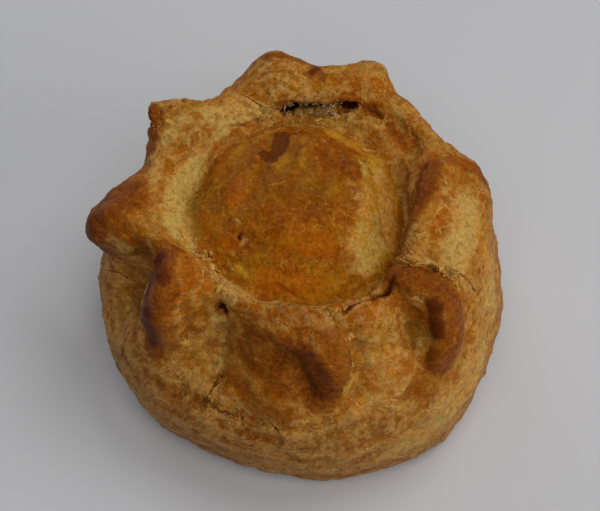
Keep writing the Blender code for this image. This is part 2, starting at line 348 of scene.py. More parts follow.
digs = {   # path, radius, depth and direction of each opening that goes in under the crust
    "under the split": (
        ((-3, 25.5, 38.5), (0, 26, 37.5), (5, 26, 37.5), (9.5, 25.5, 39)), 1.4, 0.9, (0, 0.6, -0.8)),
    "under the overhang": (((-1, 27.5, 39), (4, 27.5, 38.5), (9, 27, 39.5)), 1.6, 0.8, (0, 0.8, 0.2)),
    "split, left hole": (((-3.5, 26, 38.5), (-1.5, 26.5, 38)), 1.4, 2.6, (0, 0.7, -0.7)),
    "split, middle": (((-1, 27, 38), (2, 27, 38.5), (5, 26.5, 39)), 1.4, 1.8, (0, 0.8, -0.5)),
    "split, right hole": (((5, 26.5, 39), (8, 26, 39), (10.5, 25.5, 39.5)), 1, 2.2, (0, 0.8, -0.5)),
    "hole by the roll": (((-14.5, -20.5, 36.5), (-14.5, -21.5, 35.5)), 1.6, 1.9, (0.2, 0.6, -0.8)),
    "lid pit": (((-11.5, -7, 40.5), (-11.5, -6.5, 40.5)), 0.65, 0.8, (0, 0, -1)),
    "torn tip, corner": (((-27, 21, 43), (-27.5, 22, 43)), 2.6, 1.9, (-0.9, 0.4, 0.25)),
    "torn tip, knob": (((-24.5, 23, 43.5), (-24, 23.5, 43.5)), 1.5, 0.6, (-0.2, 0.6, 0.5)),
    "front groove": (
        ((16, -18.5, 39.5), (13.5, -19.5, 39), (11, -20.5, 39),
         (9.5, -21.5, 39)), 0.9, 0.9, (0, -0.5, -0.85)),
    "front pit, first": (((-15, -29, 26), (-16.5, -31, 24.5)), 0.7, 0.4, (0.2, 0.9, -0.2)),
    "front pit, second": (((-16, -33, 23.5), (-14.5, -34, 22.5)), 0.8, 0.5, (0.2, 0.9, -0.2)),
    "front pit, third": (((-11, -36, 22), (-9.5, -37, 21)), 0.7, 0.6, (0.1, 1, 0)),
    "front pit, fourth": (((-9, -37, 22.5), (-8, -37, 22.5)), 0.6, 0.5, (0.1, 1, 0)),
    "front pit, fifth": (((-5, -38, 22.5), (-4, -38, 22)), 0.6, 0.5, (0, 1, 0)),
    "right crack, near pit": (((26.5, -14.5, 39), (27.5, -15, 38)), 0.7, 0.6, (-0.4, 0.3, -0.8)),
    "right crack, far pit": (((31, -14, 37), (33, -14.5, 34.5)), 0.6, 0.5, (-0.6, 0.3, -0.6)),
}

cracks = (   # path and width of each thin jagged crack
    (((-16.5, -31, 24.5), (-17.5, -32, 23.5)), 0.20),
    (((-16.5, -33, 23), (-14.5, -34, 22.5)), 0.18),
    (((-23, -28, 25), (-22.5, -28.5, 24.5)), 0.07),
    (((-11, -35.5, 22.5), (-10.5, -36.5, 21.5), (-10, -37, 20.5)), 0.12),
    (((-7, -27, 36.5), (-3, -29.5, 37), (-0.5, -31, 34.5), (1, -33, 31.5)), 0.09),
    (((-9.5, 25.5, 41.5), (-8.5, 25, 41), (-7.5, 24.5, 41), (-6, 24.5, 40.5), (-4.5, 25.5, 39)), 0.10),
    (((13, 25, 40), (15, 24, 39.5)), 0.12),
    (((26, -14, 39), (27.5, -15, 38)), 0.22),
    (((30.5, -14, 37.5), (32, -14.5, 36)), 0.15),
    (((-36.5, -5, 26), (-35, -6, 27), (-33.5, -7, 27)), 0.12),
    (((-32, -9, 25.5), (-31, -10.5, 25)), 0.07),
    (((6, -24.5, 40), (6.5, -26, 38)), 0.08),
    (((-2, -40, 18.5), (0, -40, 18.5)), 0.08),
    (((-11, -38, 17), (-10.5, -38, 17)), 0.12),
    (((-5, -38, 23), (-4, -38.5, 22)), 0.10),
    (((-16, -33.5, 22.5), (-15.5, -34, 22.5)), 0.26),
)

paints = {}   # what the oven and the dough did where, with painted shade under overhangs and in creases and a painted sheen and highlight on the lid among the strokes: path, radius and strength
paints["baked"] = (
    (((-27, -23.5, 28.5), (-27, -22, 34), (-27, -20, 38.5), (-26, -15, 40.5),
      (-25.5, -12.5, 41.5)), 3.8, 1),
    (((-25.5, -13, 41), (-25, -15.5, 41.5), (-25, -18, 42), (-24, -20, 41.5)), 3.2, 0.9),
    (((-25, -21, 40), (-25.5, -23.5, 35.5), (-24.5, -24.5, 31)), 3, 0.55),
    (((-25, -9.5, 41.5), (-22.5, -11, 41)), 2.2, 0.75),
    (((-10, -25, 37), (-5, -28, 37.5), (-1, -30, 38)), 2.6, 0.6),
    (((3.5, -29.5, 39), (5.5, -31, 38), (6, -33.5, 33)), 2.6, 0.55),
    (((0, -27.5, 40.5), (3.5, -28.5, 40)), 2.8, 0.35),
    (((-4, -25, 41.5), (2, -26, 41)), 2.8, 0.35),
    (((-11, -36.5, 22), (-7.5, -37.5, 21.5), (-3, -38.5, 20)), 3, 0.2),
    (((6, -28, 39), (7.5, -30.5, 36.5), (7.5, -33, 32.5)), 2.4, 0.5),
    (((-1.5, -30.5, 37), (2, -33, 35), (3.5, -35, 30)), 5.6, 0.9),
    (((18, -17, 40.5), (21.5, -16, 41), (26, -17.5, 40), (28.5, -20, 37.5), (29, -23, 34),
      (27, -26.5, 31), (26, -28, 29.5)), 4.2, 0.85),
    (((-33, 2, 42), (-37, 0, 40.5), (-40, -3, 36), (-39, -4, 32)), 6, 1),
    (((-38, 4, 41), (-34, 7, 42), (-31, 11, 42)), 2.6, 0.6),
    (((-34, -4, 40.5), (-31, -6, 40)), 3.2, 0.6),
    (((-30, 8, 41), (-30, 14, 41)), 1.8, 0.6),
    (((-29, 14, 41), (-28, 17, 42.5), (-27.5, 20, 43)), 2.6, 0.75),
    (((25, 8.5, 42), (23.5, 2, 43), (21.5, -2, 41.5), (20, -7, 39.5)), 3.2, 1),
    (((29, 10.5, 42), (34, 9.5, 40), (37, 6, 38)), 2.4, 0.6),
    # painted shade on the underside of the overhang above the split
    (((-1, 27.5, 40), (3, 27.5, 39.5), (8, 27.5, 40), (11, 26.5, 41)), 1.7, 1),
    (((1.5, 31.5, 42.5), (3, 33.5, 42), (4.5, 31, 42.5)), 1.6, 0.8),
    (((-7, 35.5, 43.5), (-3, 36.5, 42.5), (5, 34, 42)), 1.8, 0.6),
    # painted shade under the back right crease, in this stroke and the next
    (((13, 25, 40), (16, 23.8, 39)), 1.5, 0.8),
    (((18, 21.5, 38.5), (20.5, 17, 38)), 1.4, 0.7),
    (((9, 8.5, 41.5), (10.5, 7.5, 41.5)), 2.2, 0.8),
    (((-9, -26.5, 33), (-6, -29.5, 32), (-2, -33, 30)), 5, 0.7),
    (((-9, -31, 29), (-4, -35, 26)), 3.6, 0.4),
    (((-12, -29, 28), (-8, -34, 25), (-3, -36, 25)), 3, 0.5),
    (((-26, -27, 22), (-22, -31, 20)), 3, 0.4),
    (((-21, -14.5, 41.5), (-20.5, -17.5, 41)), 2.6, 0.5),
    (((-22, -29.5, 24), (-19.5, -31.5, 23)), 4, 0.2),
    (((21, -32, 26), (24, -31, 25.5)), 3, 0.5),
    (((22, -30, 27), (24, -30.5, 25)), 3, 0.5),
)
paints["deepBrownAndShade"] = (
    (((-27.5, -17, 39.5), (-28, -21.5, 36), (-27.5, -23.5, 30)), 2.4, 0.8),
    (((-26, -12.5, 41), (-25.5, -15.5, 41.5), (-25, -18, 42)), 2.2, 0.8),
    (((1, -32, 37), (3, -33.5, 34.5), (3.5, -34.5, 31.5)), 4.2, 0.6),
    (((24.5, -20.5, 38.5), (25.5, -22.5, 36.5), (25.5, -24.5, 34.5)), 2, 0.85),
    (((20, -16.5, 41), (24, -17, 40.5)), 2, 0.4),
    (((-39.5, -2, 37), (-38.5, -4, 33)), 4, 0.7),
    (((2, 32, 42.5), (3.5, 33, 42)), 0.9, 0.9),
    # painted shade under the overhang above the split
    (((0, 27.5, 39), (5, 27.5, 38.5), (9, 27, 39.5)), 1.1, 0.9),
    # painted shade along the front groove
    (((17.5, -17, 40), (15.5, -19, 39.5), (13.5, -19.5, 39), (11, -20.5, 39),
      (8.5, -22.5, 39.5)), 1.3, 0.9),
)
paints["pale"] = (
    (((-18, 21, 41), (-12, 23.5, 41), (-7, 23.5, 39)), 4.2, 1),
    (((-19.5, 16, 39.5), (-15.5, 20, 39.5)), 3.2, 0.9),
    (((-19.5, 16, 39.5), (-21, 10, 38.5), (-24, 3.5, 39.5), (-24.5, -1.5, 39.5), (-23, -5, 38.5)), 4, 1),
    (((-14.5, -19.5, 40), (-12.5, -20.5, 39.5)), 2.4, 0.9),
    (((-15.5, -15.5, 38.5), (-13, -17.5, 39.5), (-8, -19, 38.5), (-5, -19.5, 38.5)), 3.8, 0.95),
    (((-9.5, -19.5, 38), (-4.5, -20.5, 38.5), (-1, -22, 40)), 2.2, 0.85),
    (((-22, -5, 38), (-20, -8.5, 38)), 2.4, 0.7),
    # painted sheen on the lid's right side, in this stroke and the next two
    (((15.5, -1, 38), (14.5, -6, 38), (11.5, -10.5, 38.5)), 6.6, 0.75),
    (((16, 10, 37.5), (17, 2, 37), (16.5, -5, 37)), 3, 0.8),
    (((12, 5, 40.5), (12.5, -3, 40.5), (9.5, -9, 40.5)), 6.5, 0.5),
    (((21, 6, 35.5), (21, 0, 35), (19.5, -6, 35.5)), 1.8, 0.8),
    # a painted highlight on the lid
    (((11.5, 11, 39), (12.5, 8, 39.5)), 1.6, 0.9),
    (((-11.5, -3.5, 41), (-11.5, -5, 41)), 0.9, 0.8),
    (((-10.5, -7.5, 40.5), (-11, -8.5, 40)), 1, 0.8),
    (((31, 0, 40.5), (31, -6, 40), (29, -11, 39)), 6, 0.85),
    (((-29, 5, 41), (-28, 10, 41)), 3.5, 0.5),
    (((35, -8, 30), (34, -16, 24), (29, -28, 19), (20, -35, 13)), 9, 0.8),
    (((-34, -20, 14), (-28, -28, 12)), 6, 0.5),
    (((-15, -22, 34), (-15.5, -27, 28)), 3.6, 0.7),
    (((12, -26, 35), (14, -29, 32), (17, -33, 28)), 5, 0.35),
    (((19, -12, 37), (21, -13, 41), (24, -12.5, 40)), 1.8, 0.8),
    (((-25.5, -24, 34), (-24.5, -24.5, 31.5)), 1.8, 0.6),
    (((8, -24.5, 38), (9.5, -28.5, 37.5), (9.5, -32, 35)), 1.8, 0.8),
    (((-31, 11, 41), (-27, 15, 42), (-23, 18.5, 42)), 4, 0.75),
)
paints["butter"] = (
    (((-20, 12.5, 38.5), (-22.5, 7.5, 38.5), (-24, 3.5, 39.5), (-24.5, -1.5, 39.5)), 3.6, 0.85),
    (((-15, 21, 40.5), (-11, 23, 41)), 3, 0.5),
    (((-15, -20, 40), (-13, -18.5, 39), (-8, -19, 38.5)), 2.4, 0.5),
)
paints["olive"] = (
    (((-31, -8, 35), (-31.5, -10, 30), (-33, -14, 25)), 6.5, 0.75),
    (((-13, -23, 33), (-11, -28, 30), (-6, -33, 28)), 5, 0.45),
    (((-18.5, 14, 38.5), (-20.5, 6, 38), (-21, 0, 38), (-20, -5, 38)), 3.2, 1),
    (((19.5, 12, 36), (20.5, 5, 35), (21, 0, 34.5), (19.5, -7, 35)), 1.8, 0.8),
    # painted shade in the crack at the end of the front groove
    (((3.5, -23.5, 40), (6, -24, 40)), 1.5, 0.9),
    (((-9, -34, 26), (-5, -36, 24)), 3.2, 0.6),
    (((-1, 24, 38), (4, 24, 38), (9, 23, 38)), 2.6, 0.8),
    (((2, 6, 42.5), (5, 3, 42.5)), 6, 0.3),
    (((4, 17, 39.5), (-9, 15, 40)), 4.5, 0.4),
    (((-28.5, 20.5, 42), (-29.5, 17.5, 40.5), (-29.5, 14, 38)), 2.4, 1),
    (((9, -22.5, 39), (7, -23.5, 39.5)), 1.4, 0.9),
    (((21, -22.5, 33.5), (21.5, -24, 32)), 3, 1),
    (((0, 26, 37), (6, 26, 37)), 1.6, 0.8),
    (((8, -13, 39.5), (12, -15.5, 38)), 2.4, 0.7),
)
paints["ochre"] = (
    (((-23.5, 2, 38.5), (-22.5, -3, 38.5)), 2.6, 0.6),
    # painted sheen on the lid's right side
    (((15, 8, 38.5), (15.5, 0, 38.5), (13, -8, 38.5)), 7.5, 0.95),
    (((17.5, -8, 37), (18.5, -2, 37), (18.5, 5, 37), (16.5, 11, 38), (12, 16.5, 38.5),
      (6, 19, 38.5)), 3.2, 1),
    (((-12, -13, 38.5), (-4, -18, 38)), 2.6, 0.6),
    (((-14, 13, 39), (-8, 18, 39)), 4, 0.6),
    (((32, -2, 38), (34, -8, 33), (33, -15, 28)), 7, 0.7),
    (((14, -26, 34), (16, -30, 30)), 5.5, 0.6),
    (((-24, 17, 42), (-20, 22, 42), (-14, 26, 42)), 4, 0.6),
    (((6, 34, 41), (16, 31, 41)), 4, 0.6),
    (((-22, -8, 39), (-20, -12, 39.5)), 3, 0.7),
)
paints["rust"] = (
    (((-4, 4, 43), (3, 1, 43)), 5, 0.9),
    (((-7, 9, 42), (-7, 4, 42), (-10, -1, 41.5)), 3, 0.9),
    (((-2, -1, 43), (3, -1, 43), (7, -4, 41.5)), 2.2, 0.7),
    (((5, 9, 42), (4, 4, 42.5)), 2.6, 0.6),
    (((-13, -8, 40), (-6, -10, 41)), 2.4, 0.7),
    (((-13, 8, 40), (-15, 2, 40)), 3, 0.6),
    (((8, -7, 41), (11, -3, 40.5)), 1.6, 0.5),
    (((-1, -15, 40), (6, -14, 40)), 2.2, 0.6),
    (((-2, 1, 43), (2, -3, 43)), 4, 0.8),
    (((-2, 30, 43.5), (5, 30, 43)), 3.2, 0.4),
    (((-23.5, -18, 41.5), (-22, -20, 41)), 3, 0.4),
)
paints["orange"] = (
    (((-18.5, -9.5, 37.5), (-17, -12.5, 38)), 3, 0.9),
    (((-24, -27, 25), (-20, -30.5, 23), (-16, -35, 20)), 5, 0.3),
    (((12, -26, 36), (15, -29, 32)), 5, 0.6),
    (((-12, -38, 18), (-7, -38.5, 20)), 5, 0.7),
    (((-4, -21.5, 38.5), (0, -22, 38.5)), 2.6, 1),
    (((16, 18, 38.5), (14, 16.5, 38.5)), 4, 0.7),
    (((-9, 5, 42), (-12, 2, 41.5)), 7, 1),
    (((-17, -4, 39), (-15, -9, 39)), 6, 1),
    (((-6, -16, 38.5), (3, -17, 38.5)), 6, 1),
    (((-2, -9, 41.5), (6, -9, 41)), 5, 0.8),
    (((-16, 9, 39.5), (-14, 12, 39.5)), 4, 0.8),
    (((17, 8, 37), (18, 0, 36.5), (16.5, -6, 37)), 2, 0.7),
    (((-26, -6, 41), (-25.5, 0, 41), (-26, 4, 41)), 4, 0.6),
    (((-24, -10, 41), (-21, -18, 40.5), (-20, -22, 34)), 5.5, 1),
    (((-19, -14, 38.5), (-17, -19, 39)), 3, 0.8),
    (((20.5, -20.5, 37), (22, -23.5, 34)), 3, 0.9),
    (((25, 11, 42), (30, 9, 41.5), (35, 8, 39.5)), 4.5, 1),
    (((-14, -25, 32), (-9, -30, 30), (-4, -34, 28)), 5, 0.7),
    (((-19, -35, 14), (-9, -38, 12)), 7, 0.4),
    (((-8, -36, 25), (0, -37, 26), (6, -36.5, 27)), 3.5, 0.5),
    (((9, -25.5, 37.5), (14, -24, 37)), 5, 0.55),
    (((17, -28, 31), (21, -29, 28)), 2.4, 0.8),
    (((23, -30, 26), (29, -27, 24)), 4, 0.8),
    (((-14, -25, 31), (-11, -32, 26)), 5, 0.9),
    (((14, 20, 38.5), (19, 15, 38.5)), 4, 1),
    (((-5, -24.5, 41.5), (1, -25, 41)), 3.4, 1),
    (((28, 7, 42), (32, 6, 41.5)), 4.5, 1),
    (((-7, 30, 43.5), (-3, 30.5, 43.5)), 4, 0.6),
    (((10, 30.5, 42.5), (15, 29.5, 42)), 4, 0.6),
    (((-2, -36, 20), (8, -37, 18)), 6, 0.4),
    (((-16, -20, 37), (-12, -23, 35)), 2.6, 0.8),
    (((-24, -29, 22), (-16, -35, 19)), 5, 0.4),
    (((4, -22.5, 39), (9, -21.5, 38.5), (14, -20, 39)), 2.4, 0.8),
    (((-1, 29, 41), (9, 29, 41)), 3.5, 0.8),
    (((12, -22, 40), (9, -25, 38.5)), 3.5, 0.7),
    (((2, -26, 40.5), (6, -28, 39.5)), 3, 0.8),
    (((19, -31, 28), (24, -31, 24)), 4, 0.7),
)

tears = (   # where the crust is torn and crumbly: path, radius and strength
    (((-29, 20.5, 42), (-29, 17, 40), (-29, 13, 38)), 2.6, 1),
    (((-28.5, 21.5, 43.5), (-24, 23.5, 43.5)), 1.6, 0.8),
    (((-4, 25, 38.5), (0, 25, 38), (5, 25, 38), (10, 24.5, 39)), 1.8, 0.8),
    (((28, -13.5, 38.5), (23, -13.5, 40), (18, -10, 36)), 1.4, 1),
    (((-16, -12, 38), (-17.5, -10.5, 38), (-19, -9, 38)), 2, 1),
    (((-14.5, -18.5, 39.5), (-16, -16.5, 39)), 2, 0.9),
    (((9, -22.5, 39), (5, -24.5, 40)), 1.6, 0.9),
    (((-18, 20.5, 41), (-12, 22.5, 41), (-8, 23.5, 40)), 2, 0.8),
    (((-14, -24, 30), (-15.5, -30, 25), (-17, -33, 23)), 1.8, 0.8),
    (((-10.5, -36, 22), (-4, -38, 22.5), (3, -38.5, 23)), 1.4, 0.6),
    (((-12, -5, 40.5), (-11, -8, 40.5)), 1.6, 0.8),
)


def noiseAt(points, size, shift=0.0):
    move = Vector((shift, 0, 0))
    return np.array([noise.noise(Vector(p) / size + move) for p in points])


def wobbled(points, wobble):
    moved = points.copy()
    for amount, size in wobble:
        moved += amount * np.array([noise.noise_vector(Vector(p) / size) for p in points])
    return moved


def alongPath(points, path):   # distance from the path, and the offset from it and its direction there
    path = np.array(path, float)
    best = np.full(len(points), np.inf)
    offset = np.zeros_like(points)
    heading = np.zeros_like(points)
    for start, end in zip(path[:-1], path[1:]):
        along = end - start
        share = np.clip((points - start) @ along / (along @ along), 0, 1)
        away = points - start - share[:, None] * along
        distance = np.linalg.norm(away, axis=1)
        nearer = distance < best
        best[nearer] = distance[nearer]
        offset[nearer] = away[nearer]
        heading[nearer] = along / np.linalg.norm(along)
    return best, offset, heading


def nearness(points, path, radius):   # 1 on the path, 0 at its radius and beyond
    return np.clip(1 - (alongPath(points, path)[0] / radius) ** 2, 0, 1) ** 2


def coat(points, path, radius):   # the same for paint, full over the inner half of its width
    return np.clip(2 - 2 * alongPath(points, path)[0] / radius, 0, 1)


def sideOf(points, normals, path):   # distance to the right of a path seen from outside, and any way
    distance, offset, heading = alongPath(points, path)
    return (offset * np.cross(heading, normals)).sum(1), distance


def readPoints(mesh, unit=mm):
    points = np.empty(len(mesh.vertices) * 3, np.float32)
    mesh.vertices.foreach_get("co", points)
    normals = np.empty(len(mesh.vertices) * 3, np.float32)
    mesh.vertices.foreach_get("normal", normals)
    return points.reshape(-1, 3).astype(float) / unit, normals.reshape(-1, 3).astype(float)


def writePoints(mesh, points):
    mesh.vertices.foreach_set("co", (points * mm).astype(np.float32).ravel())
    mesh.update()


def smoothed(mesh, values, rounds):   # the mean of each point's neighbours, taken again and again
    edges = np.empty(len(mesh.edges) * 2, np.int32)
    mesh.edges.foreach_get("vertices", edges)
    first, second = edges[0::2], edges[1::2]
    count = np.bincount(edges, minlength=len(values)).astype(float)
    for _ in range(rounds):
        total = np.empty_like(values)
        for column in range(values.shape[1]):
            total[:, column] = np.bincount(first, values[second, column], len(values))
            total[:, column] += np.bincount(second, values[first, column], len(values))
        values = total / count[:, None]
    return values


def startCrust():
    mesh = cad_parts["pork_pie"].data.copy()
    mesh.name = "crust"
    crust = bpy.data.objects.new("crust", mesh)
    bpy.context.scene.collection.objects.link(crust)
    selectOnly(crust)
    bpy.ops.object.mode_set(mode="EDIT")
    bpy.ops.mesh.select_all(action="SELECT")
    bpy.ops.mesh.remove_doubles(threshold=0.00001)
    bpy.ops.mesh.tris_convert_to_quads(face_threshold=math.pi, shape_threshold=math.pi)
    bpy.ops.mesh.select_all(action="DESELECT")
    bpy.ops.object.mode_set(mode="OBJECT")
    for face in mesh.polygons:   # the flat underside
        face.select = face.normal.z < -0.99 and face.center.z < 0.1 * mm
    bpy.ops.object.mode_set(mode="EDIT")
    bpy.ops.mesh.dissolve_faces()
    bpy.ops.object.mode_set(mode="OBJECT")
    smooth = crust.modifiers.new("smooth", "SUBSURF")
    smooth.levels = crustSettings["levels"]
    smooth.render_levels = crustSettings["levels"]
    bpy.ops.object.modifier_apply(modifier="smooth")
    return crust


def blistersAt(points):
    size = crustSettings["blisterSize"]
    rise = np.zeros(len(points))
    for number, point in enumerate(points):
        distances, centres = noise.voronoi(Vector(point) / size)
        chance = noise.cell(Vector(centres[0]) * 37.0)
        if chance < crustSettings["blisterShare"]:
            rise[number] = max(0.0, 1 - (distances[0] / crustSettings["blisterReach"]) ** 2) ** 2
    return rise * crustSettings["blisterRise"]


def platesAt(points):   # plates of dried dough: how far in from their seams, and a number for each
    size = crustSettings["plateSize"]
    inner = np.zeros(len(points))
    plate = np.zeros(len(points))
    flat = points * (1, 1, crustSettings["layering"])
    for number, point in enumerate(wobbled(flat, crustSettings["plateWobble"])):
        distances, centres = noise.voronoi(Vector(point) / size)
        inner[number] = distances[1] - distances[0]
        plate[number] = noise.cell(Vector(centres[0]) * 53.0)
    return inner, plate


def flakesAt(points):   # thin layers of dough that end in steps
    flat = points * (1, 1, crustSettings["layering"])
    level = sum(share * noiseAt(flat, size, shift) for size, share, shift in crustSettings["flakeSizes"])
    slope = crustSettings["flakeSlope"]
    steps = sum(np.clip((level - step) / slope, 0, 1) for step in crustSettings["flakeSteps"])
    return steps * crustSettings["flakeRise"]


def sculptCrust(mesh, loose, zones):
    points, normals = readPoints(mesh)
    free = np.clip(points[:, 2] / crustSettings["restHeight"] - 1, 0, 1)
    moved = points.copy()
    for path, radius, rise in folds.values():
        moved += normals * (nearness(loose, path, radius) * rise)[:, None]
    for path, radius, rise, width in ledges.values():
        side = sideOf(loose, normals, path)[0]
        moved += normals * (nearness(loose, path, radius) * rise * np.tanh(side / width))[:, None]
    for path, radius, depth, direction in digs.values():
        way = np.array(direction) / np.linalg.norm(direction)
        moved += way * (nearness(loose, path, radius) ** 0.6 * depth)[:, None]
    writePoints(mesh, moved)
    points, normals = readPoints(mesh)
    rise = flakesAt(points) + blistersAt(points)
    (grainSize, grainRise), (blockSize, blockRise) = crustSettings["crumbly"]
    crumbly = grainRise * noiseAt(points, grainSize, 2.0)
    crumbly += blockRise * np.sign(noiseAt(points, blockSize, 6.0)) * zones["torn"]
    rise += crumbly * zones["torn"]
    for step, (size, height) in enumerate(crustSettings["lumps"]):
        rise += height * noiseAt(points, size, step * 7.0)
    opened = np.clip(0.5 + 1.5 * noiseAt(points, crustSettings["seamPatches"], 4.0), 0, 1)
    rise -= crustSettings["seamDepth"] * zones["seam"] * opened
    rise *= 1 - crustSettings["lidCalm"] * zones["lid"]
    writePoints(mesh, points + normals * (rise * free)[:, None])


def crackSides(points, normals):   # how far to one side the nearest crack runs, less for a wide one
    nearest = np.full(len(points), -3.0)
    for path, width in cracks:
        side, distance = sideOf(points, normals, path)
        side = side / (width / crustSettings["crackWidth"])
        closer = (distance < crustSettings["crackReach"]) & (np.abs(side) < np.abs(nearest))
        nearest[closer] = side[closer]
    return nearest


def zonesOf(mesh, points, normals, loose):
    layers = {}
    for name, strokes in paints.items():
        layers[name] = np.zeros(len(points))
        for path, radius, strength in strokes:
            brush = coat if name in ("baked", "deepBrownAndShade") else nearness
            layers[name] = np.maximum(layers[name], strength * brush(loose, path, radius))
    middle = np.array(crustSettings["lidCentre"])
    reach = np.hypot(*(loose[:, :2] - middle).T)
    inside = np.clip((crustSettings["lidRadius"] - reach) / crustSettings["lidFade"] + 0.5, 0, 1)
    layers["lid"] = inside * (points[:, 2] > crustSettings["lidFloor"])
    height, fade = crustSettings["lowFrom"]
    layers["low"] = np.clip((height - points[:, 2]) / fade, 0, 1)
    height, fade = crustSettings["rimFrom"]
    layers["rim"] = np.clip((loose[:, 2] - height) / fade, 0, 1)
    # painted shade inside the holes and pits that the digs open
    layers["holeShade"] = np.zeros(len(points))
    for name, (path, radius, *_) in digs.items():
        if not name.startswith(("torn", "under")):
            dark = min(radius, 1) * nearness(loose, path, radius * 1.1)
            layers["holeShade"] = np.maximum(layers["holeShade"], dark)
    layers["torn"] = np.zeros(len(points))
    for path, radius, strength in tears:
        layers["torn"] = np.maximum(layers["torn"], strength * coat(loose, path, radius))
    layers["scar"] = np.zeros(len(points))
    for name in ("scar", "scar tip"):
        path, radius, _ = folds[name]
        layers["scar"] = np.maximum(layers["scar"], nearness(loose, path, radius * 1.2))
    layers["crack"] = crackSides(points, normals)
    layers["inner"], layers["plate"] = platesAt(points)
    layers["seam"] = np.clip(1 - layers["inner"] / crustSettings["seamWidth"], 0, 1)
    return layers


def paintCrust(mesh, layers):
    points, normals = readPoints(mesh)
    for name in ("ridge", "edge"):   # how far each point stands out of the shape around it
        rounds, full = crustSettings[name]
        proud = ((points - smoothed(mesh, points, rounds)) * normals).sum(1)
        layers[name] = np.clip(0.5 + proud / full, 0, 1)
    for name, values in layers.items():
        layer = mesh.attributes.new(name, "FLOAT", "POINT")
        layer.data.foreach_set("value", values.astype(np.float32))


crustTones = {   # linear colours
    "wall": ((0.338, 0.148, 0.024, 1), (0.290, 0.101, 0.009, 1), (0.243, 0.066, 0.0035, 1)),
    "wallBare": ((0.43, 0.230, 0.054, 1), (0.39, 0.182, 0.029, 1), (0.338, 0.135, 0.016, 1)),
    "rim": ((0.338, 0.135, 0.011, 1), (0.280, 0.086, 0.004, 1), (0.233, 0.057, 0.0018, 1)),
    "lid": ((0.308, 0.108, 0.0035, 1), (0.225, 0.060, 0.0008, 1), (0.155, 0.034, 0.0006, 1)),
    # browned crust, also used for painted shade under overhangs and in creases
    "baked": ((0.28, 0.080, 0.006, 1), (0.165, 0.034, 0.003, 1), (0.095, 0.015, 0.002, 1)),
    "deepBrownAndShade": (0.070, 0.009, 0.003, 1),
    "pale": (0.455, 0.262, 0.078, 1),
    "butter": (0.43, 0.290, 0.080, 1),
    "floury": (0.47, 0.285, 0.110, 1),
    "rust": (0.185, 0.046, 0.001, 1),
    "ochre": (0.45, 0.20, 0.016, 1),
    "olive": (0.22, 0.103, 0.011, 1),
    "orange": (0.31, 0.085, 0.001, 1),
    "vein": (0.52, 0.30, 0.080, 1),
    "lidVein": (0.44, 0.20, 0.022, 1),
    "burntVein": (0.27, 0.085, 0.008, 1),
    "crack": (0.14, 0.034, 0.008, 1),
    "scar": (0.115, 0.025, 0.0015, 1),
    # painted shade for the inside of holes and pits
    "holeShade": (0.042, 0.008, 0.003, 1),
    "reddish": (1.05, 0.87, 0.62, 1),
    "greenish": (0.97, 1.08, 0.95, 1),
    "pinhole": (0.10, 0.022, 0.003, 1),
}


glazeSettings = {
    "squash": (1.0, 1.0, 2.1),   # patches in the wall are wider than high
    "roughness": (0.44, 0.60),
    "gloss": 0.06,   # how much smoother the glazed and browned parts are
    "specular": 0.19,
    "specularTint": (1.0, 0.52, 0.08, 1),
}


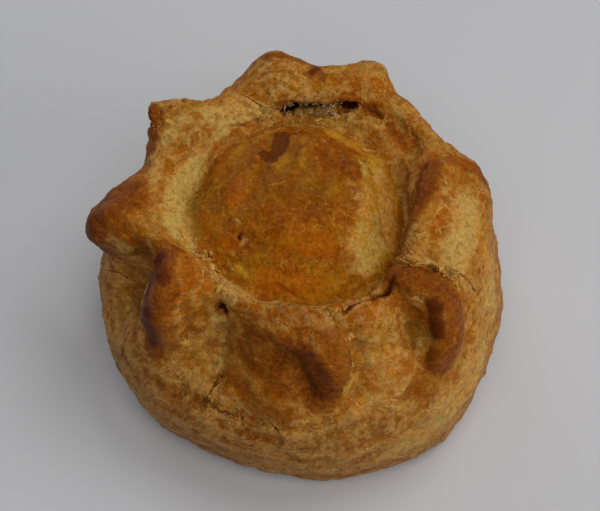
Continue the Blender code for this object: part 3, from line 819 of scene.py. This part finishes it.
def crustMaterial():
    material, tree, sockets = newMaterial("bakedCrust")
    tone = crustTones
    place = addNode(tree, "TexCoord").outputs["Object"]
    squash = {0: place, 1: glazeSettings["squash"]}
    flat = addNode(tree, "VectorMath", squash, operation="MULTIPLY").outputs["Vector"]
    broad = noiseOf(tree, flat, 130, 4, 0.6).outputs["Fac"]
    middle = noiseOf(tree, place, 420, 5, 0.68, 0.4).outputs["Fac"]
    fine = noiseOf(tree, place, 1300, 3, 0.6).outputs["Fac"]
    hue = noiseOf(tree, flat, 125, 3, 0.55, 0.5).outputs["Fac"]

    def plus(first, second):
        return mathOf(tree, "ADD", first, second)

    def minus(first, second):
        return mathOf(tree, "SUBTRACT", first, second)

    def times(first, second):
        return mathOf(tree, "MULTIPLY", first, second)

    def larger(first, second):
        return mathOf(tree, "MAXIMUM", first, second)

    def over(colour, share, top):
        return mixOf(tree, share, colour, top)

    def layer(name):
        return layerOf(tree, name)

    def byLid(onWall, onLid):   # a value that changes where the lid begins
        return spread(tree, lid, 0.0, 1.0, onWall, onLid)

    def placed(group, values):
        return useGroup(tree, group, {"Vector": flat, **values})

    def mottled(name, scale):
        light, mid, dark = tone[name]
        return placed(mottle, {"Scale": scale, "Light": light, "Middle": mid, "Dark": dark})["Colour"]

    def laid(colour, name, strength, low=0.2, high=0.8, reach=1.6, paint=None):   # ragged at its edge
        mask = times(ragged(tree, layer(name), patchy, low, high, reach), strength)
        return over(colour, mask, paint or tone[name])

    patchy = plus(times(broad, 0.5), times(middle, 0.5))
    lid = ragged(tree, layer("lid"), patchy, 0.3, 0.7, 1.6)
    rim = ragged(tree, layer("rim"), broad, 0.3, 0.7)
    lines = placed(crackle, {"Scale": 300, "Width": 0.09})["Lines"]
    hairs = placed(crackle, {"Scale": 640, "Width": 0.09})["Lines"]
    grains = placed(grain, {"Scale": 1900, "Pale": 0.22, "Dark": 0.06})

    # plates of dough with paler gaps, and the darker lid
    colour = over(mottled("wall", 150), rim, mottled("rim", 150))
    uneven = plus(minus(middle, 0.5), times(minus(broad, 0.5), 1.2))
    gap = plus(layer("inner"), uneven)
    bareShare = times(spread(tree, gap, 0.16, 0.02), spread(tree, rim, 0.0, 1.0, 0.85, 0.5))
    colour = over(colour, bareShare, mottled("wallBare", 300))
    plate = spread(tree, layer("plate"), 0.50, 0.95, 0.0, 0.38)
    colour = over(colour, times(plate, spread(tree, gap, 0.15, 0.30)), tone["wall"][2])
    colour = over(colour, lid, mottled("lid", 125))

    # patches of other tones, palest and brownest last
    for name in ("ochre", "orange", "rust", "olive"):
        colour = laid(colour, name, 0.8)
    colour = laid(colour, "low", 0.14, paint=tone["floury"])
    baked = mottled("baked", 300)
    ridge = ragged(tree, layer("ridge"), broad, 0.58, 0.95, 0.5)
    colour = over(colour, times(ridge, 0.6), baked)
    lidSpeckle = spread(tree, middle, 0.42, 0.58, 0.5, 1.0)   # the pale paint, which on the lid's right side is a painted sheen, is broken into specks on the lid
    lidSpeckle = larger(lidSpeckle, minus(1.0, lid))
    colour = laid(colour, "pale", times(lidSpeckle, 0.85), reach=2.0)
    colour = laid(colour, "butter", 0.8, reach=2.0)
    tint = mixOf(tree, spread(tree, hue, 0.38, 0.62), tone["reddish"], tone["greenish"])
    colour = mixOf(tree, 1.0, colour, tint, "MULTIPLY")
    # browned crust, with painted shade where its strokes lie under overhangs and in creases
    colour = laid(colour, "baked", 0.93, 0.15, 0.95, 1.2, baked)

    # seams, hair lines, a painted highlight along thin convex edges and painted shade in thin creases; all
    # but the painted shade show less where the crust is brown
    brownAndShade = larger(layer("baked"), layer("deepBrownAndShade"))
    rich = larger(brownAndShade, times(layer("orange"), 0.55))
    bare = spread(tree, rich, 0.25, 0.95, 1.0, 0.35)
    vein = over(tone["vein"], lid, tone["lidVein"])
    vein = over(vein, spread(tree, brownAndShade, 0.15, 0.6), tone["burntVein"])
    seam = times(times(layer("seam"), spread(tree, broad, 0.30, 0.52)), bare)
    seam = times(seam, byLid(0.45, 0.20))
    lines = times(times(lines, spread(tree, broad, 0.56, 0.44)), byLid(0.75, 0.50))
    hairs = times(times(hairs, spread(tree, broad, 0.42, 0.58)), byLid(0.32, 0.28))
    lines = times(larger(lines, hairs), bare)
    colour = over(colour, larger(seam, lines), vein)
    edge = layer("edge")
    # painted highlight along thin convex edges
    colour = over(colour, times(spread(tree, edge, 0.60, 1.0, 0.0, 0.45), bare), vein)
    # painted shade in thin creases
    colour = over(colour, spread(tree, edge, 0.38, 0.05, 0.0, 0.45), tone["baked"][1])

    # the scar, pale specks that are partly painted glints, pinholes, and the brownest folds with some
    # painted shade
    colour = over(colour, ragged(tree, layer("scar"), middle, 0.30, 0.40, 1.3), tone["scar"])
    specks = times(times(grains["Specks"], spread(tree, middle, 0.42, 0.58, 0.15, 0.75)), bare)
    colour = over(colour, times(specks, byLid(1.0, 0.45)), vein)
    colour = over(colour, times(grains["Pinholes"], 0.6), tone["pinhole"])
    # the darkest brown, with painted shade where its strokes lie under the overhang and along the front
    # groove
    colour = laid(colour, "deepBrownAndShade", 0.9, 0.15, 1.0, 0.9)
    shade = spread(tree, fine, 0.25, 0.75, 0.78, 1.22)
    shade = addNode(tree, "CombineColor", {0: shade, 1: shade, 2: shade}).outputs[0]
    colour = mixOf(tree, 1.0, colour, shade, "MULTIPLY")

    # cracks, pale along their lips, and painted shade in the holes
    wander = plus(times(minus(fine, 0.5), 1.2), times(middle, 1.6))
    line = mathOf(tree, "ABSOLUTE", plus(layer("crack"), minus(wander, 0.8)))
    gaps = spread(tree, middle, 0.40, 0.50)
    lips = times(times(spread(tree, line, 0.75, 0.2), gaps), 0.4)
    crack = times(spread(tree, line, 0.30, 0.08), gaps)
    colour = over(colour, lips, vein)
    colour = over(colour, times(crack, 0.9), tone["crack"])
    colour = over(colour, ragged(tree, layer("holeShade"), middle, 0.35, 0.65, 1.0), tone["holeShade"])
    tree.links.new(colour, sockets["Base Color"])

    smooth, rough = glazeSettings["roughness"]
    dull = spread(tree, middle, 0.3, 0.7, smooth, rough)
    gloss = times(larger(brownAndShade, layer("lid")), glazeSettings["gloss"])
    tree.links.new(minus(dull, gloss), sockets["Roughness"])
    sockets["Specular IOR Level"].default_value = glazeSettings["specular"]
    sockets["Specular Tint"].default_value = glazeSettings["specularTint"]
    height = times(grains["Height"], byLid(0.13, 0.08))
    height = plus(height, plus(times(middle, 0.28), times(fine, 0.29)))
    height = minus(height, plus(times(lines, 0.15), times(crack, 0.5)))
    bumped(tree, height, sockets)
    return material


crust = startCrust()
solidPoints, solidNormals = readPoints(crust.data)
loosePoints = wobbled(solidPoints, crustSettings["wobble"])
zones = zonesOf(crust.data, solidPoints, solidNormals, loosePoints)
sculptCrust(crust.data, loosePoints, zones)
crust.data.shade_smooth()
print("crust: sculpted,", len(crust.data.polygons), "faces")
paintCrust(crust.data, zones)
crust.data.materials.clear()
crust.data.materials.append(crustMaterial())
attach(crust, "root")
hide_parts("pork_pie")
print("crust: painted")


bitTones = {   # light, middle and dark of each kind of loose bit
    "flake": ((0.60, 0.40, 0.11, 1), (0.50, 0.25, 0.032, 1), (0.36, 0.13, 0.009, 1)),
    "crumb": ((0.55, 0.33, 0.09, 1), (0.40, 0.18, 0.025, 1), (0.20, 0.060, 0.006, 1)),
    "fibre": ((0.56, 0.43, 0.27, 1), (0.40, 0.27, 0.13, 1), (0.18, 0.085, 0.026, 1)),
}


def bitMaterial(kind, scale, roughness):
    material, tree, sockets = newMaterial(kind + "Dough")
    place = addNode(tree, "TexCoord").outputs["Object"]
    light, mid, dark = bitTones[kind]
    tones = {"Light": light, "Middle": mid, "Dark": dark}
    patches = useGroup(tree, mottle, {"Vector": place, "Scale": scale, **tones})
    grains = useGroup(tree, grain, {"Vector": place, "Scale": 2600.0})
    tree.links.new(patches["Colour"], sockets["Base Color"])
    fine = mathOf(tree, "MULTIPLY", grains["Height"], 0.08)
    height = mathOf(tree, "ADD", fine, mathOf(tree, "MULTIPLY", patches["Height"], 0.2))
    bumped(tree, height, sockets)
    sockets["Roughness"].default_value = roughness
    sockets["Specular IOR Level"].default_value = 0.25
    return material


def restingAt(point, turn, tilt, lift):   # the place and lean of a loose bit that lies on the crust
    _, place, normal, _ = crust.closest_point_on_mesh(Vector(point) * mm)
    stand = normal.to_track_quat("Z", "Y").to_matrix().to_4x4()
    lean = Matrix.Rotation(math.radians(turn), 4, "Z") @ Matrix.Rotation(math.radians(tilt), 4, "X")
    return Matrix.Translation(place + normal * lift * mm) @ stand @ lean


def copyOf(first):
    bit = first.copy()
    bit.data = first.data.copy()
    bpy.context.scene.collection.objects.link(bit)
    return bit


def joinBits(bits, name, material):
    selectOnly(bits[0])
    for bit in bits:
        bit.select_set(True)
    bpy.ops.object.join()
    piece = bpy.context.object
    piece.name = name
    piece.data.name = name
    piece.data.materials.clear()
    piece.data.materials.append(material)
    piece.data.shade_smooth()
    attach(piece, "root")
    print(name + ":", len(bits), "bits")


flakeSettings = {
    "cells": 18,
    "thickness": 0.18,
    "ragged": 0.45,
    "curl": 0.5,
    "ripple": 0.2,
    "lift": 0.08,
}
flakePlaces = (   # point, length, width, turn and tilt of each thin flake of dough that has come loose
    ((-22, -5, 38), 2.8, 1.9, 15, 4),
    ((-18.5, -10, 37.5), 2.8, 2.0, 60, 14),
    ((-17, -12.5, 38), 2.6, 1.7, 130, 18),
    ((-17.5, -11, 37.5), 2.0, 1.4, 10, 30),
    ((-16, -13.5, 38.5), 2.0, 1.2, 160, 18),
    ((-14.5, -18.5, 40), 2.2, 1.6, 40, 12),
    ((-15.5, -17, 39.5), 1.6, 1.0, 110, 18),
    ((-7.5, 23.5, 38.5), 3.0, 2.0, 70, 15),
    ((-9, 24.5, 40), 2.0, 1.3, 20, 10),
    ((-6, 22.5, 38), 1.6, 1.0, 140, 12),
    ((-17, 20.5, 41.5), 1.5, 1.1, 80, 10),
    ((8.5, -22.5, 39.5), 1.5, 0.9, 30, 12),
    ((22, -13.5, 41), 2.0, 1.0, 0, 25),
    ((19.5, -13, 41), 1.7, 0.9, 20, 30),
    ((26, -13, 39), 1.6, 0.8, 170, 20),
    ((3.5, 24, 38), 1.6, 0.9, 10, 20),
    ((-25.5, 18.5, 43), 1.6, 1.0, 60, 6),
)


def makeFlakes():
    settings = flakeSettings
    flakes = []
    for number, (point, length, width, turn, tilt) in enumerate(flakePlaces):
        cells = settings["cells"]
        bpy.ops.mesh.primitive_grid_add(x_subdivisions=cells, y_subdivisions=cells, size=2)
        flake = bpy.context.object
        spots, _ = readPoints(flake.data, 1)
        across, along = spots[:, 0].copy(), spots[:, 1].copy()
        spots[:, 0] = across * np.sqrt(1 - along ** 2 / 2)   # the square grid becomes a disc
        spots[:, 1] = along * np.sqrt(1 - across ** 2 / 2)
        radius = np.hypot(spots[:, 0], spots[:, 1])
        around = spots / np.maximum(radius, 1e-6)[:, None]
        edge = 1 + settings["ragged"] * noiseAt(around * 1.2, 1.0, number * 5.0)
        edge += 0.5 * settings["ragged"] * noiseAt(around * 4.0, 1.0, number * 7.0)
        spots[:, :2] *= edge[:, None]
        spots[:, 0] *= length / 2
        spots[:, 1] *= width / 2
        spots[:, 2] = settings["curl"] * (spots[:, 0] / length) ** 2 * np.sign(math.sin(number * 2.3))
        spots[:, 2] += settings["ripple"] * noiseAt(spots, 0.8, number * 3.0)
        writePoints(flake.data, spots)
        thick = flake.modifiers.new("thick", "SOLIDIFY")
        thick.thickness = settings["thickness"] * mm
        thick.offset = 0
        bpy.ops.object.modifier_apply(modifier="thick")
        lift = settings["lift"] + 0.2 * width * math.sin(math.radians(tilt))
        flake.data.transform(restingAt(point, turn, tilt, lift))
        flakes.append(flake)
    joinBits(flakes, "flakes", bitMaterial("flake", 900.0, 0.6))


crumbSettings = {"seed": 11, "size": (0.10, 0.28), "uneven": 0.45}
crumbPlaces = (   # where crumbs have gathered, how many, how far apart and how much bigger than the smallest
    ((-18, -10.5, 38), 30, 0.7, 2.2),
    ((-18, -10.5, 38), 24, 1.5, 1.0),
    ((-15.5, -15.5, 39), 24, 1.4, 1.0),
    ((-14, -19, 40), 22, 0.8, 1.6),
    ((-14, -19, 40), 24, 1.5, 1.0),
    ((-20.5, -5, 38), 20, 1.4, 1.0),
    ((-7, 23.5, 38.5), 24, 1.4, 1.0),
    ((0, 24.5, 38), 20, 1.4, 1.0),
    ((6, 24.5, 38), 20, 1.4, 1.0),
    ((20, -13, 40.5), 24, 1.4, 1.0),
    ((28, -13.5, 38.5), 24, 1.4, 1.0),
    ((-28, 19, 42.5), 24, 1.4, 1.0),
    ((-16, -31, 24.5), 20, 1.4, 1.0),
)


def makeCrumbs():
    settings = crumbSettings
    random = np.random.default_rng(settings["seed"])
    bpy.ops.mesh.primitive_ico_sphere_add(subdivisions=2, radius=1)
    first = bpy.context.object
    crumbs = []
    for place, count, apart, bigger in crumbPlaces:
        for _ in range(count):
            crumb = copyOf(first)
            spots, _ = readPoints(crumb.data, 1)
            spots *= (1 + settings["uneven"] * noiseAt(spots, 1.1, random.uniform(0, 90)))[:, None]
            size = random.uniform(*settings["size"]) * bigger
            spots *= size * random.uniform(0.6, 1.3, 3)
            writePoints(crumb.data, spots)
            point = np.array(place) + random.normal(0, apart, 3) * (1, 1, 0.3)
            crumb.data.transform(restingAt(point, random.uniform(0, 360), 0, size * 0.3))
            crumbs.append(crumb)
    bpy.data.objects.remove(first)
    joinBits(crumbs, "crumbs", bitMaterial("crumb", 1400.0, 0.65))


fibreSettings = {
    "seed": 5,
    "count": 54,
    "length": (0.9, 2.4),
    "radius": (0.05, 0.11),
    "bend": 0.4,
    "wave": 0.35,
    "stray": 0.35,
}
fibrePath = ((-2.5, 25.5, 38.5), (1, 26, 38.5), (4, 26, 38.5), (8, 25.5, 39))   # along the split


def makeFibres():
    settings = fibreSettings
    random = np.random.default_rng(settings["seed"])
    bpy.ops.mesh.primitive_cylinder_add(vertices=7, radius=1, depth=1)
    first = bpy.context.object
    bpy.ops.object.mode_set(mode="EDIT")
    bpy.ops.mesh.subdivide(number_cuts=7)
    bpy.ops.object.mode_set(mode="OBJECT")
    path = np.array(fibrePath)
    fibres = []
    for number in range(settings["count"]):
        fibre = copyOf(first)
        spots, _ = readPoints(fibre.data, 1)
        share = spots[:, 2].copy() * 2
        spots[:, :2] *= (random.uniform(*settings["radius"]) * (1.1 - 0.7 * share ** 2))[:, None]
        spots[:, 2] *= random.uniform(*settings["length"])
        bend = settings["bend"] * (share ** 2 - 0.4)
        spots[:, 0] += bend + settings["wave"] * noiseAt(spots, 0.9, number * 4.0)
        spots[:, 1] += settings["wave"] * noiseAt(spots, 0.9, number * 9.0 + 50)
        writePoints(fibre.data, spots)
        way = random.uniform(0, len(path) - 1.001)
        step = int(way)
        point = path[step] + (path[step + 1] - path[step]) * (way - step)
        point += random.normal(0, settings["stray"], 3)
        roll = Matrix.Rotation(math.radians(random.uniform(0, 360)), 4, "Z")
        lie = Matrix.Rotation(math.radians(90), 4, "X") @ roll
        fibre.data.transform(restingAt(point, random.uniform(-50, 50), random.uniform(-30, 20), 0.2) @ lie)
        fibres.append(fibre)
    bpy.data.objects.remove(first)
    joinBits(fibres, "tornFibres", bitMaterial("fibre", 900.0, 0.75))


bpy.context.view_layer.update()
makeFlakes()
makeCrumbs()
makeFibres()
